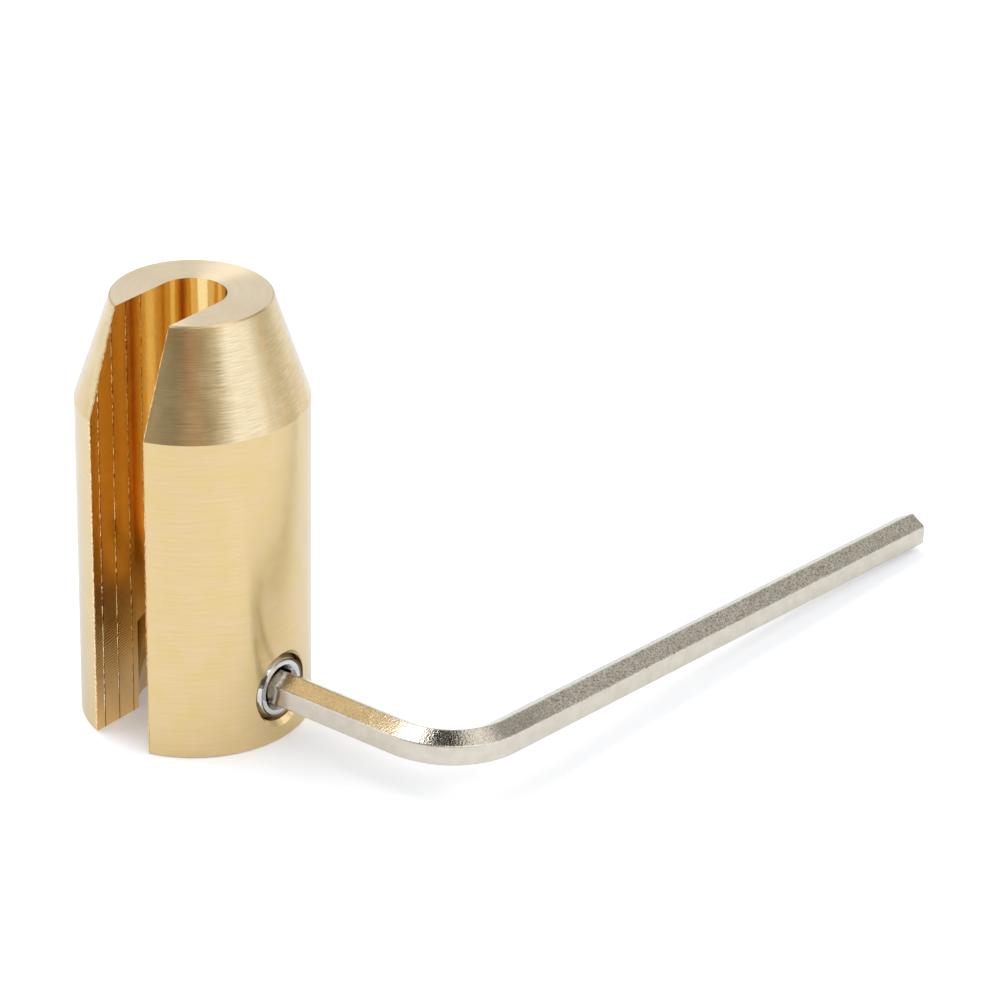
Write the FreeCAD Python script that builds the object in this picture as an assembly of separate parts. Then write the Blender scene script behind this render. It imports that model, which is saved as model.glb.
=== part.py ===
import FreeCAD, Part
import math
import os

# Slotted brass head with a set screw and its hex key.
#
# Frame: origin at the centre of the head's bottom face, +Z up the head's axis,
# +X along the set screw out of the head, -Y out through the slot.
# All lengths are in millimetres.

Vector = FreeCAD.Vector
INCH = 25.4
Z_AXIS = Vector(0, 0, 1)
X_AXIS = Vector(1, 0, 0)

# Driving dimensions -------------------------------------------------------

# Head, turned from 5/8 in round brass bar.
HEAD_DIAMETER = 5 / 8 * INCH
HEAD_HEIGHT = 31.0
CONE_BASE_HEIGHT = 23.6
TOP_FACE_DIAMETER = 10.9
EDGE_BREAK = 0.10

# Slot down the whole side, and the bore that its bottom runs into.
SLOT_WIDTH = 3 / 16 * INCH

# Blind socket for the driven shaft, drilled from below with a 118 degree drill.
SOCKET_DIAMETER = 8.15
SOCKET_DEPTH = 6.8
DRILL_POINT_ANGLE = 118.0

# Set screw, number 10 with 32 threads to the inch, 1/8 in long.
SCREW_HEIGHT = 3.87
SCREW_DIAMETER = 0.190 * INCH
THREAD_PITCH = INCH / 32
SCREW_LENGTH = 1 / 8 * INCH
SCREW_FACE_X = 7.72
SCREW_CHAMFER_WIDTH = 0.34
SCREW_CHAMFER_LENGTH = 0.62
SCREW_END_LAND = 0.12
SCREW_GROOVE_WIDTH = 0.12
SCREW_GROOVE_DEPTH = 0.07
SCREW_SOCKET_MOUTH_RADIUS = 1.65
THREAD_CLEARANCE = 0.04
COUNTERSINK_DIAMETER = 5.6
COUNTERSINK_ANGLE = 90.0

# Hex key of the 3/32 in size, 0.093 in across its flats as made.
KEY_ACROSS_FLATS = 0.093 * INCH
KEY_EDGE_RADIUS = 0.12
KEY_SHORT_ARM = 18.45
KEY_LONG_ARM = 52.9
KEY_BEND_RADIUS = 4.87
KEY_CORNER_X = 22.88
KEY_OPENING = 2.7
KEY_SOCKET_CLEARANCE = 0.09
KEY_SOCKET_DEPTH = 2.35
KEY_SAG = 0.06
KEY_END_CHAMFER = 0.10

# Derived dimensions -------------------------------------------------------

HEAD_RADIUS = HEAD_DIAMETER / 2
TOP_FACE_RADIUS = TOP_FACE_DIAMETER / 2
BORE_RADIUS = SLOT_WIDTH / 2
SOCKET_RADIUS = SOCKET_DIAMETER / 2
SCREW_RADIUS = SCREW_DIAMETER / 2
SCREW_INNER_X = SCREW_FACE_X - SCREW_LENGTH
THREAD_DEPTH = 0.6134 * THREAD_PITCH
KEY_HEIGHT = SCREW_HEIGHT - KEY_SAG
KEY_INNER_X = KEY_CORNER_X + KEY_ACROSS_FLATS / 2 - KEY_SHORT_ARM
KEY_TIP_REACH = KEY_LONG_ARM - KEY_ACROSS_FLATS / 2
KEY_TURN = 90.0 - KEY_OPENING
KEY_BEND_TANGENT = KEY_BEND_RADIUS * math.tan(math.radians(KEY_TURN / 2))
KEY_EDGE_REACH = KEY_ACROSS_FLATS / math.sqrt(3) - KEY_EDGE_RADIUS * (2 / math.sqrt(3) - 1)


def key_droop():
    """Angle in degrees that lets the long arm's lower edge rest its tip on the floor."""
    tip_y = KEY_TIP_REACH * math.cos(math.radians(KEY_OPENING))
    reach = math.hypot(tip_y, KEY_EDGE_REACH)
    return math.degrees(math.asin(KEY_HEIGHT / reach) - math.atan(KEY_EDGE_REACH / tip_y))


def revolve_outline(points):
    """Solid of revolution about Z from (radius, height) points."""
    corners = [Vector(radius, 0, height) for radius, height in points]
    face = Part.Face(Part.makePolygon(corners + corners[:1]))
    return face.revolve(Vector(0, 0, 0), Z_AXIS, 360)


def upright_to_screw_axis(shape, x_start):
    """Turn a solid built up +Z so that it runs along the screw's axis, out of the head."""
    turned = shape.copy()
    turned.rotate(Vector(0, 0, 0), Vector(0, 1, 0), 90)
    turned.translate(Vector(x_start, 0, SCREW_HEIGHT))
    return turned


def hexagon(across_flats, edge_radius=0.0):
    """Hexagon face about the origin in the XY plane, corners on the X axis, its edges rounded."""
    corner_radius = across_flats / math.sqrt(3)
    angles = [math.radians(60 * index) for index in range(6)]
    directions = [Vector(math.cos(angle), math.sin(angle), 0) for angle in angles]
    corners = [direction * corner_radius for direction in directions]
    if edge_radius == 0:
        return Part.Face(Part.makePolygon(corners + corners[:1]))
    trim = edge_radius / math.sqrt(3)
    arc_reach = corner_radius - edge_radius * (2 / math.sqrt(3) - 1)
    edges = []
    for index, corner in enumerate(corners):
        previous = corners[index - 1]
        following = corners[(index + 1) % 6]
        arc_start = corner + (previous - corner).normalize() * trim
        arc_end = corner + (following - corner).normalize() * trim
        next_start = following + (corner - following).normalize() * trim
        edges.append(Part.Arc(arc_start, directions[index] * arc_reach, arc_end).toShape())
        edges.append(Part.makeLine(arc_end, next_start))
    return Part.Face(Part.Wire(edges))


# Head ---------------------------------------------------------------------

def turned_blank():
    """The bar turned to a cylinder with a truncated cone on top, its rims just broken."""
    cone_slope = (HEAD_RADIUS - TOP_FACE_RADIUS) / (HEAD_HEIGHT - CONE_BASE_HEIGHT)
    rim_radius = TOP_FACE_RADIUS + cone_slope * EDGE_BREAK
    return revolve_outline([
        (0, 0),
        (HEAD_RADIUS - EDGE_BREAK, 0),
        (HEAD_RADIUS, EDGE_BREAK),
        (HEAD_RADIUS, CONE_BASE_HEIGHT),
        (rim_radius, HEAD_HEIGHT - EDGE_BREAK),
        (TOP_FACE_RADIUS - EDGE_BREAK, HEAD_HEIGHT),
        (0, HEAD_HEIGHT),
    ])


def shaft_socket_cut():
    """Flat-walled socket with the drill's cone above it, up into the bore."""
    cone_rise = SOCKET_RADIUS / math.tan(math.radians(DRILL_POINT_ANGLE / 2))
    return revolve_outline([
        (0, 0),
        (SOCKET_RADIUS, 0),
        (SOCKET_RADIUS, SOCKET_DEPTH),
        (0, SOCKET_DEPTH + cone_rise),
    ])


def slot_cut():
    """Bore up the axis, opened out to the side by the milled slot."""
    bore = Part.makeCylinder(BORE_RADIUS, HEAD_HEIGHT)
    slot = Part.makeBox(SLOT_WIDTH, HEAD_DIAMETER, HEAD_HEIGHT)
    slot.translate(Vector(-SLOT_WIDTH / 2, -HEAD_DIAMETER, 0))
    return bore.fuse(slot)


def screw_hole_cut():
    """Screw hole from the socket to the outside, with its countersink."""
    hole = Part.makeCylinder(SCREW_RADIUS + THREAD_CLEARANCE, HEAD_DIAMETER)
    sink_depth = COUNTERSINK_DIAMETER / 2 / math.tan(math.radians(COUNTERSINK_ANGLE / 2))
    sink = Part.makeCone(0, COUNTERSINK_DIAMETER / 2, sink_depth)
    return upright_to_screw_axis(hole, 0).fuse(upright_to_screw_axis(sink, HEAD_RADIUS - sink_depth))


def make_brass_head():
    """Turned, bored and slotted brass head."""
    head = turned_blank()
    for cutter in (shaft_socket_cut(), slot_cut(), screw_hole_cut()):
        head = head.cut(cutter)
    return head.removeSplitter()


# Set screw ----------------------------------------------------------------

def screw_outline():
    """(radius, height) points of the screw, from its inner end to its outer face."""
    root_radius = SCREW_RADIUS - THREAD_DEPTH
    face_radius = SCREW_RADIUS - SCREW_CHAMFER_WIDTH
    land_end = SCREW_LENGTH - SCREW_CHAMFER_LENGTH
    land_start = land_end - SCREW_END_LAND
    ridge_count = int(land_start / THREAD_PITCH)
    ridge_start = land_start - ridge_count * THREAD_PITCH
    crest_half = THREAD_PITCH / 16
    points = [(0, 0), (root_radius, 0)]
    for index in range(ridge_count):
        crest = ridge_start + (index + 0.5) * THREAD_PITCH
        points.append((root_radius, crest - THREAD_PITCH / 2))
        points.append((SCREW_RADIUS, crest - crest_half))
        points.append((SCREW_RADIUS, crest + crest_half))
    points.append((root_radius, land_start))
    points.append((SCREW_RADIUS, land_start + SCREW_END_LAND / 2))
    points.append((SCREW_RADIUS, land_end))
    points.append((face_radius, SCREW_LENGTH))
    points.append((face_radius - SCREW_GROOVE_WIDTH / 2, SCREW_LENGTH - SCREW_GROOVE_DEPTH))
    points.append((face_radius - SCREW_GROOVE_WIDTH, SCREW_LENGTH))
    points.append((0, SCREW_LENGTH))
    return points


def make_set_screw():
    """Headless screw with a hexagon socket in its outer end."""
    socket_size = KEY_ACROSS_FLATS + 2 * KEY_SOCKET_CLEARANCE
    socket = hexagon(socket_size).extrude(Z_AXIS * KEY_SOCKET_DEPTH)
    socket.translate(Z_AXIS * (SCREW_LENGTH - KEY_SOCKET_DEPTH))
    mouth = Part.makeCone(0, SCREW_SOCKET_MOUTH_RADIUS, SCREW_SOCKET_MOUTH_RADIUS)
    mouth.translate(Z_AXIS * (SCREW_LENGTH - SCREW_SOCKET_MOUTH_RADIUS))
    screw = revolve_outline(screw_outline()).cut(socket).cut(mouth)
    screw = upright_to_screw_axis(screw, SCREW_INNER_X)
    screw.rotate(Vector(0, 0, SCREW_HEIGHT), X_AXIS, -key_droop())
    return screw


# Hex key ------------------------------------------------------------------

def key_section(x_position):
    """Section of the short arm, two of its flats facing along the plane of the bend."""
    section = hexagon(KEY_ACROSS_FLATS, KEY_EDGE_RADIUS)
    section.rotate(Vector(0, 0, 0), Vector(0, 1, 0), 90)
    section.translate(Vector(x_position, 0, 0))
    return section


def key_end_edges(key, point, direction):
    """Edges of the flat end face that lies at a point of the key's centreline."""
    for face in key.Faces:
        offset = abs((face.CenterOfMass - point).dot(direction))
        if offset < 1e-4 and (face.CenterOfMass - point).Length < KEY_ACROSS_FLATS / 4:
            return face.Edges
    return []


def make_hex_key():
    """L-shaped hexagon wrench, one arm in the screw, the other resting its tip on the floor."""
    bend_start = KEY_CORNER_X - KEY_BEND_TANGENT
    bend_centre = Vector(bend_start, KEY_BEND_RADIUS, 0)
    short_arm = key_section(KEY_INNER_X).extrude(X_AXIS * (bend_start - KEY_INNER_X))
    bend = key_section(bend_start).revolve(bend_centre, Z_AXIS, KEY_TURN)
    turned_section = key_section(bend_start)
    turned_section.rotate(bend_centre, Z_AXIS, KEY_TURN)
    turn = math.radians(KEY_TURN)
    long_direction = Vector(math.cos(turn), math.sin(turn), 0)
    long_arm = turned_section.extrude(long_direction * (KEY_TIP_REACH - KEY_BEND_TANGENT))
    key = short_arm.fuse(bend).fuse(long_arm).removeSplitter()
    inner_end = Vector(KEY_INNER_X, 0, 0)
    tip_end = Vector(KEY_CORNER_X, 0, 0) + long_direction * KEY_TIP_REACH
    ends = key_end_edges(key, inner_end, X_AXIS) + key_end_edges(key, tip_end, long_direction)
    key = key.makeChamfer(KEY_END_CHAMFER, ends)
    key.rotate(Vector(0, 0, 0), X_AXIS, -key_droop())
    key.translate(Vector(0, 0, KEY_HEIGHT))
    return key


def single_solid(shape):
    """The one solid that a shape holds."""
    if len(shape.Solids) != 1 or not shape.isValid():
        raise ValueError("expected one valid solid, got %d" % len(shape.Solids))
    return shape.Solids[0]


NODES = {
    "brass_head": make_brass_head,
    "set_screw": make_set_screw,
    "hex_key": make_hex_key,
}

os.makedirs("parts", exist_ok=True)
for name, make in NODES.items():
    solid = single_solid(make())
    solid.exportStep("parts/%s.step" % name)
    box = solid.BoundBox
    print("%-10s volume %8.2f mm3  x %.2f..%.2f  y %.2f..%.2f  z %.2f..%.2f" % (
        name, solid.Volume, box.XMin, box.XMax, box.YMin, box.YMax, box.ZMin, box.ZMax))
print("key droop %.2f degrees" % key_droop())
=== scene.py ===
import math
import random

import bmesh
import bpy
from mathutils import Matrix, Vector


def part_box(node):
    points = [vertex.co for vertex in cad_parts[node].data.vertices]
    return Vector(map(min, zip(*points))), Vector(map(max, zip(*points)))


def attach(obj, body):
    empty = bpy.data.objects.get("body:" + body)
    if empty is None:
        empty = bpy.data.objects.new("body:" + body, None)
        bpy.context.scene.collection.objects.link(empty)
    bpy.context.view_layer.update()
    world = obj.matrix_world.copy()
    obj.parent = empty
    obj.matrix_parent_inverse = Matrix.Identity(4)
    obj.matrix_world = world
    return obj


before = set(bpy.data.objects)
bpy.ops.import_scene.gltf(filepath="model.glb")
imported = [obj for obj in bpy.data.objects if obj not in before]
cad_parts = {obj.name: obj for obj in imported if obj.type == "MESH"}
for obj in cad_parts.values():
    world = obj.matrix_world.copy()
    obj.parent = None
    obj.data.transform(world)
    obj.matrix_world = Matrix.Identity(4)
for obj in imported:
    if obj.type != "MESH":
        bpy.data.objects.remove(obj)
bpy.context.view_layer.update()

MM = 0.001
RANDOM = random.Random(7)

# Sizes in millimetres. The head's box gives the first two, and the screw's box the height of the
# screw's axis. The groove is on the screw's face: how far it is from the screw's axis, and how far
# out from the head's axis its metal starts.
HEAD_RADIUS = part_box("brass_head")[1].x / MM
HEAD_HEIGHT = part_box("brass_head")[1].z / MM
SCREW_HEIGHT = (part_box("set_screw")[0].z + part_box("set_screw")[1].z) / 2 / MM
CONE_BASE = 23.6
TOP_RADIUS = 5.45
SLOT_HALF = 2.381
SOCKET_RADIUS = 4.075
GROOVE_RADIUS = 2.01
GROOVE_START = 7.5

# Distances out from the head's axis, in millimetres, at which one pass of the slot's cutter meets
# the next, and the pitch in millimetres and the slope of the chatter marks that it left.
PASS_LINES = (2.46, 3.89, 5.32, 6.75)
CHATTER_PITCH = 0.2
CHATTER_SLOPE = 0.14

# Ridges between the passes and burrs on the slot's edges, in millimetres: the length of one
# section, how deep its root goes into the metal, how far the ridges and the burrs stay from the
# ends of the slot, and the half-width and height of each. BROKEN_SWELL is the share of the height
# that is left where one is broken.
RIDGE_STEP = 0.11
RIDGE_BREAK_CHANCE = 0.3
RIDGE_ROOT_DEPTH = 0.01
BROKEN_SWELL = 0.08
RIDGE_FOOT = 1.2
RIDGE_TOP_GAP = 0.25
RIDGE_HALF_WIDTH = 0.055
RIDGE_HEIGHT = 0.03
BURR_END_GAP = 0.15
BURR_HALF_WIDTH = 0.07
BURR_HEIGHT = 0.025

# Widths in millimetres of the broken edges that catch the light.
HEAD_EDGE = 0.04
STEEL_EDGE = 0.02
KEY_EDGE = 0.13

# The camera: azimuth round the head, pitch down and a slight roll in degrees, and the lens in
# millimetres.
CAMERA_AIM = Vector((6.8, 25.2, 8.0)) * MM
CAMERA_DISTANCE = 306.5 * MM
CAMERA_AZIMUTH = 37.3
CAMERA_PITCH = 27.13
CAMERA_ROLL = 1.36
CAMERA_LENS = 153.7


# Node helpers -------------------------------------------------------------

class Tree:
    """Short names for the nodes that the materials are made of."""

    def __init__(self, tree):
        self.tree = tree
        tree.nodes.clear()

    def add(self, kind, **settings):
        node = self.tree.nodes.new(kind)
        for name, value in settings.items():
            setattr(node, name, value)
        return node

    def plug(self, socket, value):
        """Link a node's output to the socket, or set the socket to a number or colour."""
        if isinstance(value, bpy.types.NodeSocket):
            self.tree.links.new(value, socket)
        else:
            socket.default_value = value

    def math(self, operation, first, second=0.0):
        node = self.add("ShaderNodeMath", operation=operation)
        self.plug(node.inputs[0], first)
        self.plug(node.inputs[1], second)
        return node.outputs[0]

    def vector(self, operation, first, second=None, **settings):
        """One step of vector arithmetic, as its node: which output holds the result varies."""
        node = self.add("ShaderNodeVectorMath", operation=operation, **settings)
        self.plug(node.inputs[0], first)
        if second is not None:
            self.plug(node.inputs[1], second)
        return node

    def product(self, *factors):
        result = factors[0]
        for factor in factors[1:]:
            result = self.math("MULTIPLY", result, factor)
        return result

    def step(self, value, low, high, from_value=0.0, to_value=1.0):
        """Smooth step from one value to another as the input goes from low to high."""
        node = self.add("ShaderNodeMapRange", interpolation_type="SMOOTHSTEP")
        for socket, item in zip(node.inputs, (value, low, high, from_value, to_value)):
            self.plug(socket, item)
        return node.outputs[0]

    def band(self, value, centre, half_width, softness):
        """1 within half_width of the centre, falling to 0 over the softness."""
        distance = self.math("ABSOLUTE", self.math("SUBTRACT", value, centre))
        return self.step(distance, half_width, half_width + softness, 1.0, 0.0)

    def noise(self, vector, scale=1.0, detail=2.0, roughness=0.5):
        node = self.add("ShaderNodeTexNoise")
        self.plug(node.inputs["Vector"], vector)
        self.plug(node.inputs["Scale"], scale)
        self.plug(node.inputs["Detail"], detail)
        self.plug(node.inputs["Roughness"], roughness)
        return node.outputs["Fac"]

    def mix(self, factor, first, second):
        node = self.add("ShaderNodeMix", data_type="RGBA")
        for index, item in ((0, factor), (6, first), (7, second)):
            self.plug(node.inputs[index], item)
        return node.outputs[2]

    def combine(self, x, y, z):
        node = self.add("ShaderNodeCombineXYZ")
        for socket, value in zip(node.inputs, (x, y, z)):
            self.plug(socket, value)
        return node.outputs[0]

    def separate(self, vector):
        node = self.add("ShaderNodeSeparateXYZ")
        self.plug(node.inputs[0], vector)
        return node.outputs

    def scaled(self, vector, factor):
        node = self.vector("SCALE", vector)
        self.plug(node.inputs["Scale"], factor)
        return node.outputs[0]

    def place_mm(self):
        """The point in the part's own frame, in millimetres, and its normal there."""
        coordinates = self.add("ShaderNodeTexCoord")
        return self.scaled(coordinates.outputs["Object"], 1 / MM), coordinates.outputs["Normal"]

    def normal(self):
        """The surface's own normal in the scene's frame."""
        return self.add("ShaderNodeNewGeometry").outputs["Normal"]

    def swung_normal(self, angle):
        """The surface's normal, swung round the upright axis by a small angle in radians."""
        normal = self.normal()
        sideways = self.vector("CROSS_PRODUCT", (0.0, 0.0, 1.0), normal).outputs[0]
        total = self.vector("ADD", normal, self.scaled(sideways, angle)).outputs[0]
        return self.vector("NORMALIZE", total).outputs[0]

    def rings(self, x, y, across, along, roughness, detail=3.0):
        """Noise drawn out round the axis: slow across x and y, and fast along a third value."""
        stretched = self.combine(self.product(x, across), self.product(y, across), along)
        return self.noise(stretched, detail=detail, roughness=roughness)

    def bump(self, height, distance_mm, normal=None):
        """A normal tilted by a height, one unit of which stands for so many millimetres."""
        node = self.add("ShaderNodeBump")
        node.inputs["Strength"].default_value = 1.0
        node.inputs["Distance"].default_value = distance_mm * MM
        self.plug(node.inputs["Height"], height)
        if normal is not None:
            self.plug(node.inputs["Normal"], normal)
        return node.outputs[0]

    def surface(self, **inputs):
        """A principled surface with the named inputs, wired to the output."""
        shader = self.add("ShaderNodeBsdfPrincipled")
        for name, value in inputs.items():
            self.plug(shader.inputs[name.replace("_", " ")], value)
        output = self.add("ShaderNodeOutputMaterial")
        self.plug(output.inputs["Surface"], shader.outputs[0])


def rgb(red, green, blue):
    return (red, green, blue, 1.0)


# Reflectance of the metals and the paper. Brass on the outside, with its darker turning marks:
BRASS_GREENISH = rgb(0.655, 0.505, 0.24)
BRASS_PINKISH = rgb(0.70, 0.53, 0.305)
BRASS_MARK = rgb(0.59, 0.44, 0.205)
# The nose, with its scratches and stains, and the flat top:
NOSE_DULL = rgb(0.65, 0.495, 0.255)
NOSE_BRIGHT = rgb(0.76, 0.60, 0.34)
NOSE_STAIN = rgb(0.62, 0.42, 0.20)
TOP_DULL = rgb(0.74, 0.61, 0.41)
TOP_BRIGHT = rgb(0.79, 0.665, 0.47)
# The slot's walls and the bore, which are redder, and the marks on them:
INSIDE_BRIGHT = rgb(0.80, 0.58, 0.25)
INSIDE_DULL = rgb(0.72, 0.51, 0.21)
# Painted light: the slot's walls low down, brighter as if lit by the white floor below.
SLOT_WALL_PAINTED_FLOOR_LIGHT = rgb(1.0, 0.70, 0.32)
CHATTER_SHADE = rgb(0.66, 0.42, 0.15)
# Painted shade in the grooves beside the milling ridges:
SEAM_PAINTED_SHADE = rgb(0.13, 0.06, 0.02)
BURR_DULL = rgb(0.76, 0.53, 0.24)
# Painted highlight on the burrs:
BURR_PAINTED_GLINT = rgb(1.0, 0.87, 0.60)
# The screw's plated steel and the key's nickel plate:
STEEL_DULL = rgb(0.50, 0.495, 0.49)
STEEL_BRIGHT = rgb(0.64, 0.635, 0.63)
# Painted shade in the screw's groove and socket:
RECESS_PAINTED_SHADE = rgb(0.10, 0.085, 0.07)
NICKEL_DULL = rgb(0.55, 0.505, 0.43)
NICKEL_BRIGHT = rgb(0.605, 0.56, 0.485)
NICKEL_PIT = rgb(0.24, 0.21, 0.17)
# Painted highlight and painted shade along the key's edges:
NICKEL_EDGE_PAINTED_HIGHLIGHT = rgb(1.0, 0.96, 0.88)
NICKEL_EDGE_PAINTED_SHADE = rgb(0.24, 0.19, 0.14)
# The white paper, the glow painted into it, and both far from the object, where the paper is painted
# darker:
PAPER_DULL = rgb(0.86, 0.875, 0.90)
PAPER_BRIGHT = rgb(0.90, 0.915, 0.94)
PAPER_FAR_PAINTED_DIM = rgb(0.2, 0.2, 0.2)
PAPER_PAINTED_GLOW = rgb(0.97, 0.99, 1.03)
NO_GLOW = rgb(0.0, 0.0, 0.0)


def new_material(name):
    material = bpy.data.materials.new(name)
    material.use_nodes = True
    return material, Tree(material.node_tree)


# Brass --------------------------------------------------------------------

def brass_material():
    """Turned and milled brass: rings on the outside and the nose, milling marks in the slot."""
    material, tree = new_material("turned_brass")
    place, normal = tree.place_mm()
    x, y, z = tree.separate(place)
    normal_x, _, normal_z = tree.separate(normal)
    radius = tree.math("SQRT", tree.math("ADD", tree.product(x, x), tree.product(y, y)))

    # Where each way of machining shows, from 0 to 1.
    side_facing = tree.step(tree.math("ABSOLUTE", normal_x), 0.93, 0.97)
    near_slot = tree.step(tree.math("ABSOLUTE", x), SLOT_HALF + 0.1, SLOT_HALF + 0.2, 1.0, 0.0)
    slot_wall = tree.product(side_facing, near_slot)
    inside = tree.step(radius, SOCKET_RADIUS + 0.05, SOCKET_RADIUS + 0.15, 1.0, 0.0)
    level = tree.math("ABSOLUTE", normal_z)
    upright = tree.step(level, 0.5, 0.7, 1.0, 0.0)
    bored = tree.product(inside, upright)
    cut_inside = tree.math("MAXIMUM", slot_wall, bored)
    flat_top = tree.product(tree.step(level, 0.9, 0.97), tree.step(z, 20.0, 21.0))
    sloping = tree.product(tree.step(level, 0.2, 0.28), tree.math("SUBTRACT", 1.0, flat_top))
    nose = tree.product(tree.step(z, CONE_BASE - 0.03, CONE_BASE + 0.03), sloping)

    # Turning marks: streaks that run round the axis.
    fine_rings = tree.rings(x, y, 0.4, tree.product(z, 13.0), roughness=0.6)
    scratches = tree.rings(x, y, 0.7, tree.product(z, 26.0), roughness=0.65)
    face_rings = tree.rings(x, y, 0.2, tree.product(radius, 7.0), roughness=0.7, detail=4.0)
    mottle = tree.noise(place, scale=0.55, detail=4.0, roughness=0.6)
    specks = tree.noise(place, scale=9.0, detail=2.0)

    # Chatter: near-level arcs on the outer passes of the slot's cutter, low down.
    reach = tree.product(y, -1.0)
    arc = tree.math("ADD", tree.product(reach, CHATTER_SLOPE), tree.product(mottle, 0.5))
    phase = tree.product(tree.math("ADD", z, arc), 2 * math.pi / CHATTER_PITCH)
    wave = tree.math("ADD", tree.product(tree.math("SINE", phase), 0.5), 0.5)
    outer_pass = tree.step(reach, PASS_LINES[1], PASS_LINES[2], 0.15, 1.0)
    chatter_mask = tree.product(slot_wall, outer_pass, tree.step(z, 5.5, 12.0, 1.0, 0.15))
    chatter = tree.product(wave, chatter_mask)

    # Painted shade: dark lines in the grooves beside the ridges that the passes leave, broken except at the
    # foot.
    painted_seam_shade = 0.0
    for line in PASS_LINES:
        painted_seam_shade = tree.math("MAXIMUM", painted_seam_shade, tree.band(reach, line - 0.06, 0.025, 0.03))
    line_break = tree.noise(tree.combine(0.0, reach, tree.product(z, 4.0)), detail=2.0)
    unbroken = tree.math("MAXIMUM", tree.step(line_break, 0.46, 0.56), tree.step(z, 2.5, 6.0, 0.9, 0.0))
    painted_seam_shade = tree.product(painted_seam_shade, slot_wall, unbroken)

    colour = tree.mix(tree.step(mottle, 0.3, 0.7), BRASS_GREENISH, BRASS_PINKISH)
    colour = tree.mix(tree.product(tree.step(fine_rings, 0.35, 0.7), 0.4), colour, BRASS_MARK)
    colour = tree.mix(nose, colour, tree.mix(tree.step(scratches, 0.36, 0.62), NOSE_DULL, NOSE_BRIGHT))
    stain = tree.noise(tree.combine(tree.product(x, 0.8), tree.product(y, 0.8), tree.product(z, 0.1)))
    colour = tree.mix(tree.product(nose, tree.step(stain, 0.4, 0.65), 0.35), colour, NOSE_STAIN)
    colour = tree.mix(flat_top, colour, tree.mix(tree.step(face_rings, 0.3, 0.7), TOP_DULL, TOP_BRIGHT))

    inner_colour = tree.mix(tree.step(specks, 0.35, 0.7), INSIDE_BRIGHT, INSIDE_DULL)
    # Painted light: the slot's walls are brighter towards the bottom, as if lit by the white floor.
    painted_floor_light = tree.product(slot_wall, tree.step(z, 5.0, 15.0, 1.0, 0.0))
    inner_colour = tree.mix(painted_floor_light, inner_colour, SLOT_WALL_PAINTED_FLOOR_LIGHT)
    inner_colour = tree.mix(tree.product(chatter, 0.6), inner_colour, CHATTER_SHADE)
    inner_colour = tree.mix(painted_seam_shade, inner_colour, SEAM_PAINTED_SHADE)
    colour = tree.mix(cut_inside, colour, inner_colour)

    roughness = tree.step(mottle, 0.3, 0.7, 0.20, 0.25)
    roughness = tree.math("ADD", roughness, tree.product(flat_top, 0.14))
    roughness = tree.math("SUBTRACT", roughness, tree.product(cut_inside, 0.03))
    roughness = tree.math("SUBTRACT", roughness, tree.product(bored, 0.06))

    outside = tree.product(tree.math("SUBTRACT", 1.0, cut_inside), upright)
    height = tree.product(fine_rings, outside, 0.6)
    height = tree.math("ADD", height, tree.product(face_rings, flat_top, 0.4))
    height = tree.math("ADD", height, tree.product(specks, cut_inside, 0.5))
    height = tree.math("ADD", height, tree.product(chatter, 1.6))
    swing = tree.math("ADD", tree.product(tree.math("SUBTRACT", fine_rings, 0.5), outside, 0.035),
                      tree.product(tree.math("SUBTRACT", scratches, 0.5), nose, 0.20))
    tangent = tree.add("ShaderNodeTangent", direction_type="RADIAL", axis="Z")
    tree.surface(
        Base_Color=colour,
        Metallic=1.0,
        Roughness=roughness,
        Specular_Tint=rgb(0.80, 0.86, 0.95),
        Anisotropic=0.85,
        Anisotropic_Rotation=0.25,
        Tangent=tangent.outputs[0],
        Normal=tree.bump(height, 0.004, tree.swung_normal(swing)),
    )
    return material


def burr_material():
    """Brass raised in ragged burrs, with highlights painted on in patches, where it is also smoother."""
    material, tree = new_material("burr_brass")
    place, _ = tree.place_mm()
    glint = tree.step(tree.noise(place, scale=5.0, detail=3.0), 0.42, 0.6)
    tree.surface(
        Base_Color=tree.mix(glint, BURR_DULL, BURR_PAINTED_GLINT),
        Metallic=1.0,
        Roughness=tree.math("SUBTRACT", 0.5, tree.product(glint, 0.2)),
    )
    return material


# Plated steel -------------------------------------------------------------

def screw_material():
    """Bright plated steel turned round the screw's axis, with painted shade in its groove and socket, which
    are also rougher.
    """
    material, tree = new_material("bright_screw")
    place, _ = tree.place_mm()
    x, y, z = tree.separate(place)
    up = tree.math("SUBTRACT", z, SCREW_HEIGHT)
    radius = tree.math("SQRT", tree.math("ADD", tree.product(y, y), tree.product(up, up)))
    rings = tree.noise(tree.combine(tree.product(y, 0.8), tree.product(up, 0.8), tree.product(radius, 9.0)),
                       detail=2.0)
    ripple = tree.noise(place, scale=1.3, detail=2.0)
    in_groove = tree.product(tree.band(radius, GROOVE_RADIUS, 0.035, 0.03),
                             tree.step(x, GROOVE_START, GROOVE_START + 0.05))
    in_socket = tree.step(radius, 1.25, 1.45, 0.85, 0.0)
    # Painted shade in the groove and the socket, where the steel is also made rougher.
    painted_recess_shade = tree.math("MAXIMUM", tree.product(in_groove, 0.85), in_socket)
    steel = tree.mix(tree.step(rings, 0.3, 0.7), STEEL_DULL, STEEL_BRIGHT)
    height = tree.math("ADD", tree.product(rings, 0.25), tree.product(ripple, 2.0))
    tree.surface(
        Base_Color=tree.mix(painted_recess_shade, steel, RECESS_PAINTED_SHADE),
        Metallic=1.0,
        Roughness=tree.math("ADD", 0.07, tree.product(painted_recess_shade, 0.3)),
        Normal=tree.bump(height, 0.03),
    )
    return material


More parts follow.
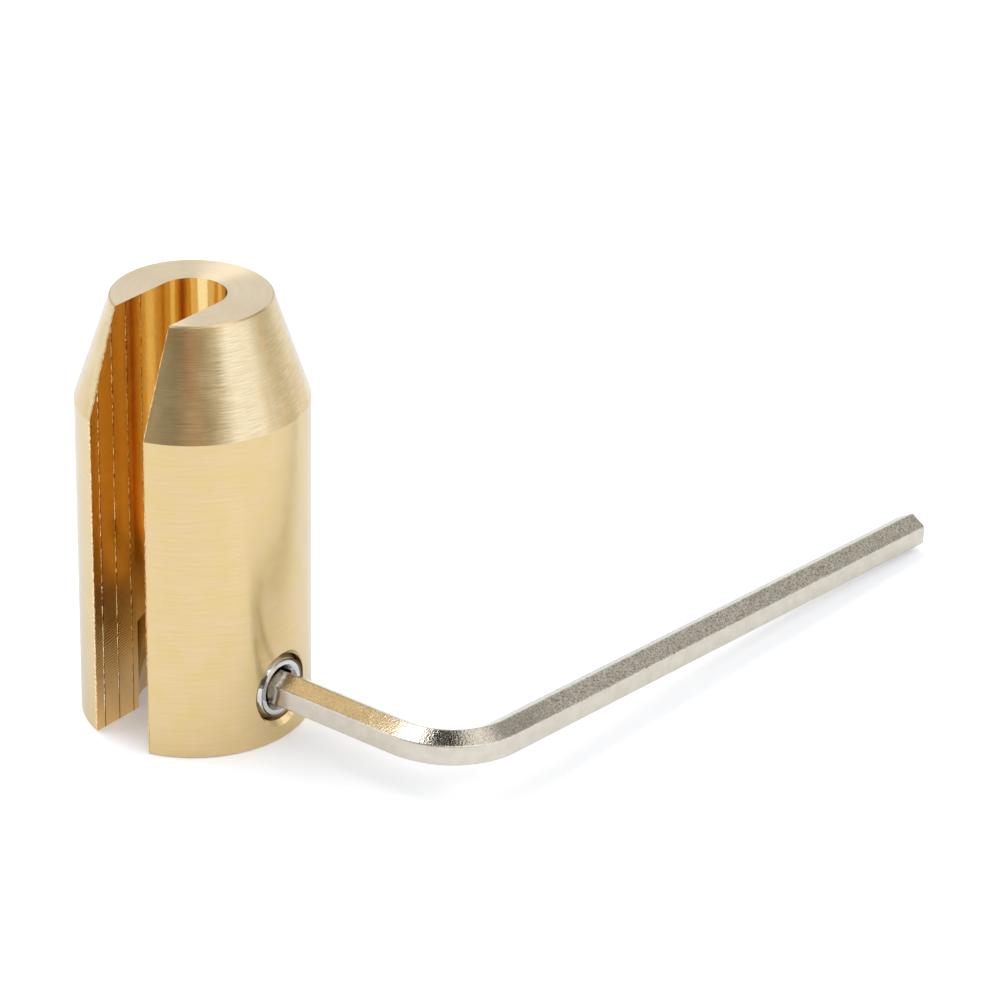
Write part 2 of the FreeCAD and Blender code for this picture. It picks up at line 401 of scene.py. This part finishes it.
def key_material():
    """Nickel plate over drawn hexagon steel: pebbled and pitted, but smooth on its upright flats."""
    material, tree = new_material("pebbled_nickel")
    place, normal = tree.place_mm()
    steep = tree.math("ABSOLUTE", tree.separate(normal)[2])
    along_arm = tree.step(tree.separate(place)[1], 2.0, 12.0, 0.4, 1.0)
    pebbled = tree.product(tree.step(steep, 0.25, 0.6, 0.12, 1.0), along_arm)
    grain = tree.noise(place, scale=7.0, detail=2.0, roughness=0.55)
    broad = tree.noise(place, scale=1.2, detail=3.0)
    pits = tree.product(tree.step(tree.noise(place, scale=7.5, detail=2.0), 0.50, 0.60), pebbled)
    colour = tree.mix(tree.step(broad, 0.3, 0.7), NICKEL_DULL, NICKEL_BRIGHT)
    colour = tree.mix(tree.product(pits, 0.75), colour, NICKEL_PIT)

    # Edges of the hexagon: a painted highlight above the ridge and painted shade below it, both in places.
    rounded = tree.add("ShaderNodeBevel", samples=6)
    rounded.inputs["Radius"].default_value = KEY_EDGE * MM
    bend = tree.vector("DOT_PRODUCT", rounded.outputs[0], tree.normal())
    edge = tree.step(bend.outputs["Value"], 0.93, 0.985, 1.0, 0.0)
    broken = tree.step(tree.noise(place, scale=4.0, detail=2.0), 0.38, 0.52, 0.2, 1.0)
    upper = tree.step(steep, 0.3, 0.5)
    lower = tree.math("SUBTRACT", 1.0, upper)
    colour = tree.mix(tree.product(edge, broken, upper), colour, NICKEL_EDGE_PAINTED_HIGHLIGHT)
    colour = tree.mix(tree.product(edge, broken, lower, 0.7), colour, NICKEL_EDGE_PAINTED_SHADE)
    tree.surface(
        Base_Color=colour,
        Metallic=1.0,
        Roughness=tree.step(broad, 0.3, 0.7, 0.11, 0.16),
        Specular_Tint=rgb(0.84, 0.88, 0.84),
        Normal=tree.bump(tree.product(grain, pebbled), 0.045, rounded.outputs[0]),
    )
    return material


def floor_material():
    """Seamless white paper with a painted glow round the object that brightens it and lifts the shadows on
    it, painted darker and without glow far from it.
    """
    material, tree = new_material("white_paper")
    place, _ = tree.place_mm()
    fibre = tree.noise(place, scale=0.8, detail=4.0)
    distance = tree.vector("LENGTH", place).outputs["Value"]
    # Painted light: a pool of glow and bright paper round the object, fading to dim paper far from it.
    painted_light_pool = tree.step(distance, 170.0, 480.0, 1.0, 0.35)
    tree.surface(
        Base_Color=tree.mix(painted_light_pool, PAPER_FAR_PAINTED_DIM, tree.mix(fibre, PAPER_DULL, PAPER_BRIGHT)),
        Roughness=0.9,
        Emission_Color=tree.mix(painted_light_pool, NO_GLOW, PAPER_PAINTED_GLOW),
        Emission_Strength=0.25,
    )
    return material


# Detail pieces ------------------------------------------------------------

def nose_top_at(reach):
    """Height in millimetres of the head's outside above a point of that distance from its axis."""
    if reach <= TOP_RADIUS:
        return HEAD_HEIGHT
    return HEAD_HEIGHT - (reach - TOP_RADIUS) / (HEAD_RADIUS - TOP_RADIUS) * (HEAD_HEIGHT - CONE_BASE)


def mesh_piece(name, build, material):
    """A new mesh object from a bmesh filled by build, riding on the head."""
    mesh = bpy.data.meshes.new(name)
    shape = bmesh.new()
    build(shape)
    bmesh.ops.recalc_face_normals(shape, faces=shape.faces)
    shape.to_mesh(mesh)
    shape.free()
    piece = bpy.data.objects.new(name, mesh)
    bpy.context.scene.collection.objects.link(piece)
    piece.data.materials.append(material)
    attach(piece, "head")


def add_ridge(shape, path, outward, half_width, height):
    """Low ragged ridge along a path of points, a closed strip of three-sided sections."""
    along = Vector(outward).normalized()
    across = Vector((-along.y, along.x, 0.0))
    rings = []
    raised = True
    for index, point in enumerate(path):
        if RANDOM.random() < RIDGE_BREAK_CHANCE:
            raised = not raised
        at_end = index in (0, len(path) - 1)
        swell = RANDOM.uniform(0.5, 1.0) if raised and not at_end else BROKEN_SWELL
        wander = across * RANDOM.uniform(-0.3, 0.3) * half_width
        half = across * half_width * (0.5 + 0.5 * swell)
        root = point - along * RIDGE_ROOT_DEPTH + wander
        crest = point + along * height * swell + wander
        rings.append([shape.verts.new(corner * MM) for corner in (root - half, crest, root + half)])
    for below, above in zip(rings, rings[1:]):
        for side in range(3):
            after = (side + 1) % 3
            shape.faces.new((below[side], below[after], above[after], above[side]))
    shape.faces.new(rings[0])
    shape.faces.new(reversed(rings[-1]))


def upright_path(wall_side, reach_at, low, high):
    """Points up a slot wall whose distance from the head's axis is a function of height."""
    count = int((high - low) / RIDGE_STEP)
    heights = [low + (high - low) * index / count for index in range(count + 1)]
    return [Vector((wall_side * SLOT_HALF, -reach_at(height), height)) for height in heights]


def build_milling_ridges(shape):
    """Ridges left between the cutter's passes on both walls of the slot."""
    for wall_side in (-1, 1):
        for reach in PASS_LINES:
            top = nose_top_at(math.hypot(reach, SLOT_HALF))
            path = upright_path(wall_side, lambda height: reach, RIDGE_FOOT, top - RIDGE_TOP_GAP)
            add_ridge(shape, path, (-wall_side, 0.0, 0.0), RIDGE_HALF_WIDTH, RIDGE_HEIGHT)


def edge_reach(height):
    """Distance from the head's axis, along the slot, of the slot's outer edge at a height."""
    rise = max(0.0, height - CONE_BASE) / (HEAD_HEIGHT - CONE_BASE)
    radius = HEAD_RADIUS + (TOP_RADIUS - HEAD_RADIUS) * rise
    return math.sqrt(radius ** 2 - SLOT_HALF ** 2)


def build_edge_burrs(shape):
    """Fine burr along both outer edges of the slot."""
    for wall_side in (-1, 1):
        path = upright_path(wall_side, edge_reach, BURR_END_GAP, HEAD_HEIGHT - BURR_END_GAP)
        add_ridge(shape, path, (-wall_side, -1.0, 0.0), BURR_HALF_WIDTH, BURR_HEIGHT)


# Studio -------------------------------------------------------------------

# Half the side of the paper under the object, in metres.
FLOOR_HALF_SIDE = 3.0


def build_floor():
    """Sheet of paper under the object, far wider than the picture."""
    mesh = bpy.data.meshes.new("floor")
    shape = bmesh.new()
    bmesh.ops.create_grid(shape, x_segments=1, y_segments=1, size=FLOOR_HALF_SIDE)
    shape.to_mesh(mesh)
    shape.free()
    floor = bpy.data.objects.new("floor", mesh)
    floor.data.materials.append(floor_material())
    bpy.context.scene.collection.objects.link(floor)


def direction(azimuth, elevation):
    """Unit vector at an azimuth anticlockwise from +X and an elevation, in degrees."""
    turn, rise = math.radians(azimuth), math.radians(elevation)
    return Vector((math.cos(turn) * math.cos(rise), math.sin(turn) * math.cos(rise), math.sin(rise)))


# Light and dark parts of the tent round the object: azimuth from the camera's right, elevation,
# half-angle of the full patch, softness beyond it, and the light to blend to.
STUDIO_PATCHES = (
    ("back_wall", 90.0, 25.0, 30.0, 25.0, (1.0, 1.0, 1.0)),
    ("left_wall", 180.0, 15.0, 20.0, 20.0, (0.95, 0.95, 0.95)),
    ("left_softbox", -168.0, 24.0, 22.0, 9.0, (1.5, 1.5, 1.5)),
    ("camera_side", -108.0, 10.0, 34.0, 16.0, (0.35, 0.315, 0.245)),
    ("warm_panel", -89.0, 10.0, 9.0, 8.0, (0.45, 0.31, 0.21)),
    ("above_camera", -105.0, 30.0, 12.0, 8.0, (0.10, 0.10, 0.09)),
    ("dark_ceiling", 90.0, 84.0, 10.0, 4.0, (0.03, 0.03, 0.03)),
    ("ceiling_light", 25.0, 67.0, 7.0, 6.0, (1.4, 1.38, 1.32)),
    ("right_high_gap", 41.0, 42.0, 9.0, 7.0, (0.48, 0.475, 0.45)),
    ("right_low_light", 12.0, 20.0, 8.0, 6.0, (1.9, 1.85, 1.75)),
    ("right_middle_softbox", 3.0, 38.0, 9.0, 7.0, (1.7, 1.65, 1.55)),
    ("right_high_softbox", -53.0, 52.0, 18.0, 12.0, (2.0, 2.0, 2.0)),
    ("right_softbox", -27.0, 8.0, 12.0, 21.0, (1.35, 1.5, 1.9)),
)
TENT_LIGHT = (0.55, 0.55, 0.55)


def build_world():
    """White light tent with softer and darker parts, as the metal mirrors it."""
    world = bpy.data.worlds.new("studio")
    bpy.context.scene.world = world
    world.use_nodes = True
    tree = Tree(world.node_tree)
    towards = tree.add("ShaderNodeTexCoord").outputs["Generated"]
    light = rgb(*TENT_LIGHT)
    for name, azimuth, elevation, core, softness, patch_light in STUDIO_PATCHES:
        axis = direction(azimuth + CAMERA_AZIMUTH, elevation)
        dot = tree.vector("DOT_PRODUCT", towards, axis, label=name)
        inner = math.cos(math.radians(core))
        outer = math.cos(math.radians(core + softness))
        amount = tree.step(dot.outputs["Value"], outer, inner)
        light = tree.mix(amount, light, rgb(*patch_light))
    background = tree.add("ShaderNodeBackground")
    tree.plug(background.inputs["Color"], light)
    background.inputs["Strength"].default_value = 1.0
    output = tree.add("ShaderNodeOutputWorld")
    tree.plug(output.inputs["Surface"], background.outputs[0])


def add_area_light(name, azimuth, elevation, distance, size, watts):
    """Square softbox that faces the object, from a distance and of a size in metres."""
    light = bpy.data.lights.new(name, "AREA")
    light.size = size
    light.energy = watts
    lamp = bpy.data.objects.new(name, light)
    towards = direction(azimuth + CAMERA_AZIMUTH, elevation)
    lamp.location = CAMERA_AIM + towards * distance
    lamp.rotation_mode = "QUATERNION"
    lamp.rotation_quaternion = towards.to_track_quat("Z", "Y")
    bpy.context.scene.collection.objects.link(lamp)


def build_camera():
    """The photo's view: long lens, looking down past the head to the key's long arm."""
    data = bpy.data.cameras.new("camera")
    data.lens = CAMERA_LENS
    data.clip_start = 0.01
    camera = bpy.data.objects.new("camera", data)
    turn, pitch = math.radians(CAMERA_AZIMUTH), math.radians(CAMERA_PITCH)
    back = Vector((math.sin(turn) * math.cos(pitch), -math.cos(turn) * math.cos(pitch), math.sin(pitch)))
    camera.rotation_mode = "QUATERNION"
    level = back.to_track_quat("Z", "Y")
    roll = Matrix.Rotation(math.radians(CAMERA_ROLL), 4, back).to_quaternion()
    camera.rotation_quaternion = roll @ level
    camera.location = CAMERA_AIM + back * CAMERA_DISTANCE
    bpy.context.scene.collection.objects.link(camera)
    bpy.context.scene.camera = camera


# The scene ----------------------------------------------------------------

def dress_node(node, material, edge_mm):
    """Give a CAD node its material and a narrow bevel that catches light on its sharp edges."""
    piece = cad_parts[node]
    for slot in piece.material_slots:
        slot.material = material
    bevel = piece.modifiers.new("edge_break", "BEVEL")
    bevel.width = edge_mm * MM
    bevel.segments = 2
    bevel.limit_method = "ANGLE"
    bevel.angle_limit = math.radians(40)
    bevel.harden_normals = True


dress_node("brass_head", brass_material(), HEAD_EDGE)
dress_node("set_screw", screw_material(), STEEL_EDGE)
dress_node("hex_key", key_material(), STEEL_EDGE)
BURRS = burr_material()
mesh_piece("milling_ridges", build_milling_ridges, BURRS)
mesh_piece("edge_burrs", build_edge_burrs, BURRS)
build_floor()
build_world()
add_area_light("high_softbox", azimuth=150.0, elevation=62.0, distance=0.6, size=0.32, watts=1.2)
build_camera()
bpy.context.scene.view_settings.view_transform = "Standard"
bpy.context.scene.cycles.glossy_bounces = 8
